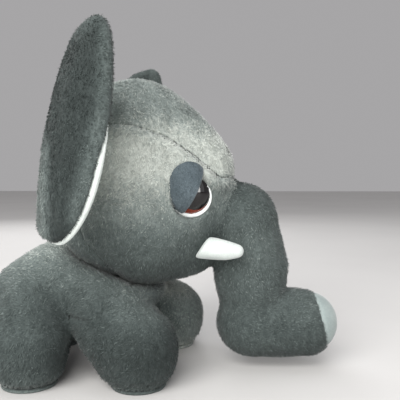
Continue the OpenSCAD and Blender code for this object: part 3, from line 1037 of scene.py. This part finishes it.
def make_head_and_trunk():
    grid = Grid((-84, -62, 50), (104, 62, 218), STEP)
    p = grid.points
    head = head_hull(p)
    trunk = trunk_form(p)
    above = above_line(p, *GUSSET_LINE)
    behind = behind_line(p, *BACK_LINE)
    form = blend_min(head, trunk, 8) - brow_ridge(p, above) + SWELL
    for eye in EYES.values():
        form = blend_max(form, -eye_pocket(eye, p), 1.5)
    trunk_side = (head - trunk) / 1.4
    puff = Puff(head_hull, (-90, -68, 44), (76, 68, 224), head_held, cap=3.0, pressure=20)
    head_side = np.maximum(form, trunk_side - OVERLAP)
    below = seam_edge(head_side, above)
    panels = [
        ("gusset", seam_edge(head_side, -above), "head_gusset", 20),
        ("back", seam_edge(below, -behind), "head_back_panel", 21),
    ]
    for side_name, side in SIDES.items():
        cheek = np.maximum(seam_edge(below, behind), -side * p[:, 1] + 0.1)
        panels.append((f"cheek_{side_name}", cheek, f"head_cheek_{side_name}", 22 + side))
    for name, values, node, seed in panels:
        values = np.maximum(values, -(form + PANEL_T))
        piece = make_panel(f"plush_head_{name}", grid, values, form, puff, head_flow, head_nap_and_painted_light, seed)
        settle(piece, "head", node=node)
    filling = np.maximum(form, trunk_side) + 2 * PANEL_T
    make_filling("filling_head", grid, filling, "head", "head_stuffing")
    make_trunk_root(grid, form, trunk, trunk_side)
    make_trunk_end()


def make_trunk_root(grid, form, trunk, trunk_side):
    """The trunk down to above its bend, with a collar that goes on inside the head."""
    p = grid.points
    root = np.minimum(
        both(form, -trunk_side - OVERLAP, -(form + PANEL_T)),
        both(form + PANEL_T + 0.3, -(form + PANEL_T + COLLAR_T), -(trunk_side + 7)),
    )
    root = both(root, TRUNK_SPLIT_Z - p[:, 2] - OVERLAP, trunk - 6)
    piece = make_panel("plush_trunk_root", grid, root, form, None, trunk_flow, trunk_nap_and_painted_shade, 30)
    bend = ("head", "trunk_upper", (0.0525, 0, 0.1066), (0.066, 0, 0.0832))
    settle(piece, bend=bend, node="trunk_upper_skin")
    filling = both(root_filling_hull(p), trunk + PANEL_T + 0.6, -trunk_side + 8, 62 - p[:, 2])
    make_filling("filling_trunk_root", grid, filling, "trunk_upper", "trunk_upper_stuffing")


def ahead_of_pad(p):
    """How far a point is past the leaning seam where the trunk's end pad starts."""
    return (p - TIP - np.array([5, 0, TIP_R])) @ np.array([math.cos(PAD_LEAN), 0, math.sin(PAD_LEAN)])


def trunk_held(v):
    """Where the trunk's fabric is held: above its end piece, at the pad's seam and in its bend."""
    crease = np.hypot(v[:, 0] - 97, v[:, 2] - 58) < 9
    return (v[:, 2] > 68) | (np.abs(ahead_of_pad(v)) < 4) | crease


def whole_trunk(v):
    return np.maximum(trunk_form(v), v[:, 2] - 100)


def make_trunk_end():
    grid = Grid((38, -34, 0), (144, 34, 84), STEP)
    p = grid.points
    form = trunk_form(p) + SWELL
    shell = -(form + PANEL_T)
    split = p[:, 2] - TRUNK_SPLIT_Z - OVERLAP
    pad = ahead_of_pad(p)
    puff = Puff(whole_trunk, (30, -42, -6), (152, 42, 108), trunk_held, cap=1.6, pressure=60)
    values = both(seam_edge(form, pad, 3.5), split, shell)
    piece = make_panel("plush_trunk_end", grid, values, form, puff, trunk_flow, trunk_nap_and_painted_shade, 31)
    bend = ("trunk_upper", "trunk_lower", (0.064, 0, 0.0425), (0.081, 0, 0.0255))
    settle(piece, bend=bend, node="trunk_lower_skin")
    verts, quads = smooth_net(both(seam_edge(form, -pad, 3.5), shell), grid)
    ob = new_object("velour_trunk_pad", puff.apply(verts), quads, [MINT])
    settle((ob, None), "trunk_lower", node="trunk_tip_pad")
    filling = both(form + PANEL_T + 0.6, trunk_low_hull(p) + PANEL_T + 1.0)
    make_filling("filling_trunk_end", grid, filling, "trunk_lower", "trunk_lower_stuffing")


def make_filling(name, grid, values, body, node):
    """A lump of fibre inside a skin, on every other point of the grid."""
    coarse = values.reshape(grid.shape)[::2, ::2, ::2]
    step = grid.step * 2
    half = Grid(grid.lo, grid.lo + (np.array(coarse.shape) - 1) * step - 0.01, step)
    verts, quads = smooth_net(coarse, half, 2)
    verts = verts - normals_of(verts, quads) * (0.5 + 0.5 * wave_noise(verts, 12, 2))[:, None]
    attach(new_object(name, verts, quads, [FIBRE]), body, node=node)


# ---- Eyes

def ring_mesh(rows):
    """Quads between rows of points that each close on themselves."""
    n = len(rows[0])
    verts = np.concatenate(rows)
    i = np.arange(n)
    j = (i + 1) % n
    band = np.stack([i, j, n + j, n + i], 1)
    return verts, np.concatenate([band + r * n for r in range(len(rows) - 1)])


def outside_dome(eye, p):
    """How far a point is outside the ball that the eye's dome is cut from."""
    return distance(p, eye.seat + eye.out * DOME_CENTRE) - DOME_BALL_R


def make_dome(eye):
    """A clear dome with its stem, turned from a profile of radii and heights."""
    angles = np.linspace(0.012, math.asin(DOME_R / DOME_BALL_R), 26)
    profile = [(DOME_BALL_R * math.sin(a), DOME_CENTRE + DOME_BALL_R * math.cos(a)) for a in angles]
    profile += [(DOME_R, DOME_BASE - 0.3), (DOME_R - 0.4, DOME_BASE - 0.5), (2.6, DOME_BASE - 0.6)]
    profile += [(2.6, -11.5), (0.3, -11.6)]
    turn = np.linspace(0, 2 * math.pi, 72, endpoint=False)
    verts, quads = ring_mesh([
        eye.place(r * np.cos(turn), r * np.sin(turn), np.full(72, n)) for r, n in profile
    ])
    if np.dot(np.cross(eye.ahead, eye.up), eye.out) > 0:
        quads = quads[:, ::-1]
    ob = new_object(f"glass_eye_{eye.name}", verts, quads, [EYE])
    close_ends(ob)
    f, u, _ = eye.local(np.array([v.co for v in ob.data.vertices]) / MM)
    paint(ob, "iris", np.hypot(f - 2.4, u - 2.6) / 16.0)
    attach(ob, "head", node=f"eye_{eye.name}_dome")


def make_white(eye):
    """A disc of felt that the dome is bedded in."""
    grid = eye.grid(19, 0.6)
    f, u, n = eye.local(grid.points)
    flat = np.hypot(f - WHITE_SHIFT[0], u - WHITE_SHIFT[1])
    disc = blend_max(flat - 13.9, np.abs(n + 0.7) - 1.15, 1.4)
    stem = np.hypot(f, u) - 2.8
    bed = np.maximum(outside_dome(eye, grid.points) - 0.05, -(n - DOME_BASE + 0.6))
    ob = new_object(f"felt_eye_{eye.name}", *smooth_net(both(disc, -stem, -bed), grid), [FELT])
    attach(ob, "head", node=f"eye_{eye.name}_white")


def make_lid(eye):
    """A padded velour lid that leans across the dome, with its own short pile."""
    grid = eye.grid(34, 0.85)
    f, u, n = eye.local(grid.points)
    lump = np.sqrt(((f + 2.0) / 15.5) ** 2 + ((u - 4.2) / 20.0) ** 2 + ((n + 7.5) / 16) ** 2)
    edge = f * math.cos(LID_LEAN) - u * math.sin(LID_LEAN) - 0.2
    values = blend_max((lump - 1) * 16, edge, 1.4)
    values = both(values, -(outside_dome(eye, grid.points) - 0.2), -(n + 3.5))
    verts, quads = smooth_net(values, grid)
    ob = new_object(f"velour_lid_{eye.name}", verts, quads, [LID])
    f, u, n = eye.local(verts)
    edge = f * math.cos(LID_LEAN) - u * math.sin(LID_LEAN)
    keep = ((edge < -1.2) & (outside_dome(eye, verts) > 0.9) & (n > -2.5))[quads].all(1)
    strands = pile(
        f"velour_lid_{eye.name}_pile", verts, quads, keep, lambda q: np.array([-0.5, 0.0, -0.6]),
        lambda q: np.zeros(len(q)), 60, per_mm2=1.5, length=1.5, width=0.42, shades=LID_SHADES,
    )
    settle((ob, strands), "head", node=f"eyelid_{eye.name}")


def close_ends(ob):
    """Fills the small rings left open at the ends of a turned shape."""
    bm = bmesh.new()
    bm.from_mesh(ob.data)
    open_edges = [e for e in bm.edges if e.is_boundary]
    bmesh.ops.holes_fill(bm, edges=open_edges, sides=0)
    bmesh.ops.recalc_face_normals(bm, faces=bm.faces)
    bm.to_mesh(ob.data)
    bm.free()
    ob.data.shade_smooth()


# ---- Tusks

def make_tusk(side_name):
    """A stubby velour tusk that starts inside the cheek."""
    side = SIDES[side_name]
    balls = [(33, 35, 90.5, 5.4), (41, 37.6, 92.6, 7.4), (50.5, 39, 91.3, 6.7), (58.6, 39.4, 90.8, 4.6)]
    near, far = sorted((side * 24, side * 52))
    grid = Grid((20, near, 78), (70, far, 108), 0.9)
    p = grid.points
    tusk = hull_of([(x, side * y, z, r) for x, y, z, r in balls])(p)
    base = 33.5 + 0.66 * (p[:, 2] - 92) - p[:, 0]
    values = both(tusk, -(head_hull(p) + 2.5), blend_max(tusk, base, 2.0))
    ob = new_object(f"velour_tusk_{side_name}", *smooth_net(values, grid), [WHITE])
    settle((ob, None), "head", node=f"tusk_{side_name}_cover")
    make_filling(f"filling_tusk_{side_name}", grid, values + 1.6, "head", f"tusk_{side_name}_stuffing")


# ---- Ears

EAR_X = (-46, -60, -46, -16)
EAR_Y = (52.5, 76, 96, 107)
EAR_LEAN = (10, 26, 22, 8)
EAR_LOW = (120, 106, 101)
EAR_HIGH = (184, 224, 236)
EAR_BOTTOM, EAR_HEIGHT = 101, 137
EAR_T = 5.5
RIM = 9.0
EAR_SEAM = ((90, 110, 150, 170, 196, 260), (-2.0, -3.2, -3.2, 1.0, 11, 13))
EAR_ROOT, EAR_OUT = np.array([-44, 53, 150]), np.array([-0.45, 0.89, 0])
EAR_STRETCH = {"right": 0.985, "left": 1.02}
EAR_FORWARD = {"right": 0, "left": 9}


def smooth_through(values, s):
    """A smooth curve through values at 0, 1, 2 and so on, straight past its ends."""
    v = np.array(values, float)
    v = np.concatenate([[2 * v[0] - v[1]], v, [2 * v[-1] - v[-2]]])
    i = np.clip(np.floor(s).astype(int), 0, len(values) - 2)
    t = s - i
    a, b, c, d = v[i], v[i + 1], v[i + 2], v[i + 3]
    inside = 2 * b + (c - a) * t + (2 * a - 5 * b + 4 * c - d) * t ** 2 + (3 * b - a - 3 * c + d) * t ** 3
    below = values[0] + (values[1] - values[0]) * s
    above = values[-1] + (values[-1] - values[-2]) * (s - len(values) + 1)
    return np.where(s < 0, below, np.where(s > len(values) - 1, above, inside / 2))


def ear_middle(s, z):
    """The left ear's middle surface: s runs from the root, 0, to the free edge, 3."""
    h = (z - EAR_BOTTOM) / EAR_HEIGHT
    held = np.clip(s, 0, 1)
    far = np.clip(s / 3, 0, 1)
    x = smooth_through(EAR_X, s) + smooth_through(EAR_LEAN, s) * h ** 2
    x = x - 8 * far ** 3 * np.clip(1 - h, 0, 1) ** 3
    y = smooth_through(EAR_Y, s) + (3 - 5 * (2 * h - 1) ** 2) * held
    return np.stack([x, y, z], -1)


def ear_outline():
    """Corners of the ear's flat pattern: steps from the root and height."""
    s = np.linspace(0, 2, 21)
    low = smooth_through(EAR_LOW, s)
    high = smooth_through(EAR_HIGH, s)
    turn = np.linspace(-math.pi / 2, math.pi / 2, 41)[1:-1]
    power = np.where(turn > 0, 0.72, 0.95)
    cap_s = 2 + np.cos(turn) ** power
    middle, half = (high[-1] + low[-1]) / 2, (high[-1] - low[-1]) / 2
    cap_z = middle + half * np.sign(turn) * np.abs(np.sin(turn)) ** power
    across = np.concatenate([s, cap_s, s[::-1], [-0.45, -0.45]])
    height = np.concatenate([low, cap_z, high[::-1], [high[0], low[0]]])
    return across, height


def inside_distance(px, py, cx, cy):
    """Distance in from a closed outline, negative outside it."""
    best = np.full(len(px), 1e9)
    inside = np.zeros(len(px), bool)
    for x0, y0, x1, y1 in zip(cx, cy, np.roll(cx, -1), np.roll(cy, -1)):
        dx, dy = x1 - x0, y1 - y0
        t = np.clip(((px - x0) * dx + (py - y0) * dy) / max(dx * dx + dy * dy, 1e-9), 0, 1)
        best = np.minimum(best, np.hypot(px - x0 - t * dx, py - y0 - t * dy))
        if y0 != y1:
            cross = (y0 > py) != (y1 > py)
            inside ^= cross & (px < dx * (py - y0) / (y1 - y0) + x0)
    return np.where(inside, best, -best)


class EarShape:
    """Where each grid point lies in the left ear: along and up it, off its middle, in from its edge."""

    def __init__(self):
        self.grid = Grid((-76, 40, 92), (8, 124, 250), STEP)
        s = np.linspace(-0.6, 3.3, 79)
        z = np.arange(90, 254, 2.2)
        ss, zz = [a.ravel() for a in np.meshgrid(s, z, indexing="ij")]
        middle = ear_middle(ss, zz)
        ahead = ear_middle(ss + 0.01, zz) - middle
        per_step = np.linalg.norm(ahead, axis=1) / 0.01
        ahead = unit(ahead)
        up = unit(ear_middle(ss, zz + 0.5) - middle)
        across = unit(np.cross(ahead, up))
        p = self.grid.points
        near = np.empty(len(p), int)
        size = (middle ** 2).sum(1).astype(np.float32)
        m = middle.T.astype(np.float32)
        for i in range(0, len(p), 8000):
            near[i:i + 8000] = (size - 2 * (p[i:i + 8000].astype(np.float32) @ m)).argmin(1)
        gap = p - middle[near]
        self.offset = (gap * across[near]).sum(1)
        self.s = ss[near] + (gap * ahead[near]).sum(1) / per_step[near]
        self.z = zz[near] + (gap * up[near]).sum(1)
        self.refine(p, np.nonzero(np.linalg.norm(gap, axis=1) < 13)[0])
        cs, cz = ear_outline()
        lengths = np.linspace(-1, 4, 101)
        run = np.linalg.norm(np.diff(ear_middle(lengths, np.full(101, 160.0)), axis=0), axis=1)
        run = np.concatenate([[0], np.cumsum(run)])
        run -= np.interp(0, lengths, run)
        self.run = np.interp(self.s, lengths, run)
        self.edge = inside_distance(self.run, self.z, np.interp(cs, lengths, run), cz)
        thick = EAR_T * (0.55 + 0.45 * np.clip(self.run / 22, 0, 1))
        in_rim = np.clip((RIM - self.edge) / RIM, 0, None)
        self.form = (np.hypot(self.offset / thick, in_rim) - 1) * thick
        turn = RIM * 2 / math.pi * np.arctan2(self.offset / thick, np.maximum(in_rim, 1e-3))
        self.round_rim = np.where(in_rim > 0, turn, np.sign(self.offset) * self.edge)
        self.seam = np.interp(self.z, *EAR_SEAM)

    def refine(self, p, rows):
        """Moves the found places until the middle surface there faces the point squarely."""
        q, s, z = p[rows], self.s[rows], self.z[rows]
        for _ in range(4):
            here = ear_middle(s, z)
            ds = (ear_middle(s + 0.01, z) - here) / 0.01
            dz = (ear_middle(s, z + 0.2) - here) / 0.2
            gap = q - here
            a, b, c = (ds * ds).sum(1), (ds * dz).sum(1), (dz * dz).sum(1)
            e, f = (gap * ds).sum(1), (gap * dz).sum(1)
            det = np.maximum(a * c - b * b, 1e-6)
            s = s + np.clip((c * e - b * f) / det, -0.3, 0.3)
            z = z + np.clip((a * f - b * e) / det, -6, 6)
        self.s[rows], self.z[rows] = s, z
        self.offset[rows] = ((q - ear_middle(s, z)) * unit(np.cross(ds, dz))).sum(1)


def ear_nap_and_painted_light(p):
    """Dark over the back from the nap; painted light on the rolled front edge and at the top, and lighter
    down on the lobe.
    """
    x, _, z = p.T
    edge = rise(x + 24 + 0.30 * np.clip(185 - z, 0, 60), 0, 8)
    lobe = rise(x, -49, -6) * rise(z, 168, -12)
    # The front edge and the top are lighter as painted light, where the ear faces the lamps.
    return -3.6 + np.maximum(2.5 * edge, 1.7 * rise(z, 221, 10)) + 3.2 * lobe


def to_side(verts, quads, side_name):
    """The left ear's mesh made into one side's: stretched, pushed forward at the top and mirrored."""
    side = SIDES[side_name]
    share = (verts[:, 2] - EAR_BOTTOM) / EAR_HEIGHT
    x = verts[:, 0] + EAR_FORWARD[side_name] * np.clip(share, 0, 1) ** 2
    z = EAR_BOTTOM + share * EAR_HEIGHT * EAR_STRETCH[side_name]
    return np.column_stack([x, side * verts[:, 1], z]), quads if side == LEFT else quads[:, ::-1]


def make_ear(ear, side_name):
    """The plush back, which rolls round the edge, the velour lining in front, and the padding."""
    side = SIDES[side_name]
    mirror = np.array([1, side, 1])
    start, end = (EAR_ROOT - EAR_OUT * 2) * mirror, (EAR_ROOT + EAR_OUT * 20) * mirror
    bend = ("head", f"ear_{side_name}", tuple(start * MM), tuple(end * MM))
    grid, form = ear.grid, ear.form
    lined = ear.round_rim - ear.seam
    inner = -(form + 3.0)
    verts, quads = smooth_net(both(blend_max(form, lined, 2.0), inner), grid)
    outer = grid.sample(form.reshape(grid.shape), verts) > -0.8
    back = with_pile(
        f"plush_ear_{side_name}", *to_side(verts, quads, side_name), outer,
        lambda q: np.array([0.55, side * 0.5, -0.6]), ear_nap_and_painted_light, 40 + side, length=2.1,
    )
    settle(back, bend=bend, node=f"ear_{side_name}_back")
    mesh = smooth_net(both(blend_max(form + 0.2, -lined, 2.0), inner), grid)
    lining = new_object(f"velour_ear_{side_name}", *to_side(*mesh, side_name), [LINING])
    settle((lining, None), bend=bend, node=f"ear_{side_name}_lining")
    mesh = smooth_net(form + 3.2, grid)
    padding = new_object(f"filling_ear_{side_name}", *to_side(*mesh, side_name), [FIBRE])
    attach(padding, bend=bend, node=f"ear_{side_name}_padding")


# ---- Tail and neck

def make_tail():
    """A thin sleeve with a tuft of longer pile."""
    lo, hi = box_mm("tail_tuft")
    end = np.array([(lo[0] + hi[0]) / 2, 0, hi[2] - 4])
    grid = Grid((-146, -12, 10), (-114, 12, 68), 1.0)
    p = grid.points
    middle = (TAIL_ROOT + end) / 2 + np.array([-1.5, 0, 0])
    sleeve = hull_of([(*TAIL_ROOT, 3.6), (*middle, 3.3), (*end, 3.0)])(p)
    tuft = hull_of([(*end, 4.2), (*(end + np.array([-1, 0, -9])), 2.4)])(p)
    tuft = np.maximum(tuft, -(sleeve + 0.3))
    for name, values, node, seed, long in (
        ("plush_tail", sleeve, "tail_sleeve", 50, 2.2),
        ("plush_tail_tuft", tuft, "tail_tuft", 51, 6.5),
    ):
        piece = make_panel(
            name, grid, values, values, None, lambda q: np.array([0.0, 0.0, -1.0]),
            lambda q: np.full(len(q), -0.6), seed, length=long,
        )
        settle(piece, "tail", node=node)


def make_neck():
    """A round of plush that closes the space between head and torso."""
    grid = Grid(NECK - 26, NECK + 26, 1.4)
    away = distance(grid.points, NECK)
    verts, quads = smooth_net(np.maximum(away - 18.5, -(away - 14.6)), grid)
    ob = new_object("plush_neck", verts, quads, [GREY])
    paint(ob, "nap", np.full(len(verts), -0.5))
    attach(ob, "neck")


def dress_cad_nodes():
    """The CAD pieces that keep their own shape get their finish here."""
    finishes = {
        "eye_right_washer": NYLON, "eye_left_washer": NYLON,
        "neck_seam_ring": THREAD, "neck_stuffing": FIBRE,
    }
    for name, material in finishes.items():
        mesh = frame["nodes"][name].data
        mesh.materials.clear()
        mesh.materials.append(material)


make_camera()
make_stage()
make_torso_and_legs()
make_head_and_trunk()
for eye in EYES.values():
    make_dome(eye)
    make_white(eye)
    make_lid(eye)
for side_name in SIDES:
    make_tusk(side_name)
ear_shape = EarShape()
for side_name in SIDES:
    make_ear(ear_shape, side_name)
make_tail()
make_neck()
dress_cad_nodes()
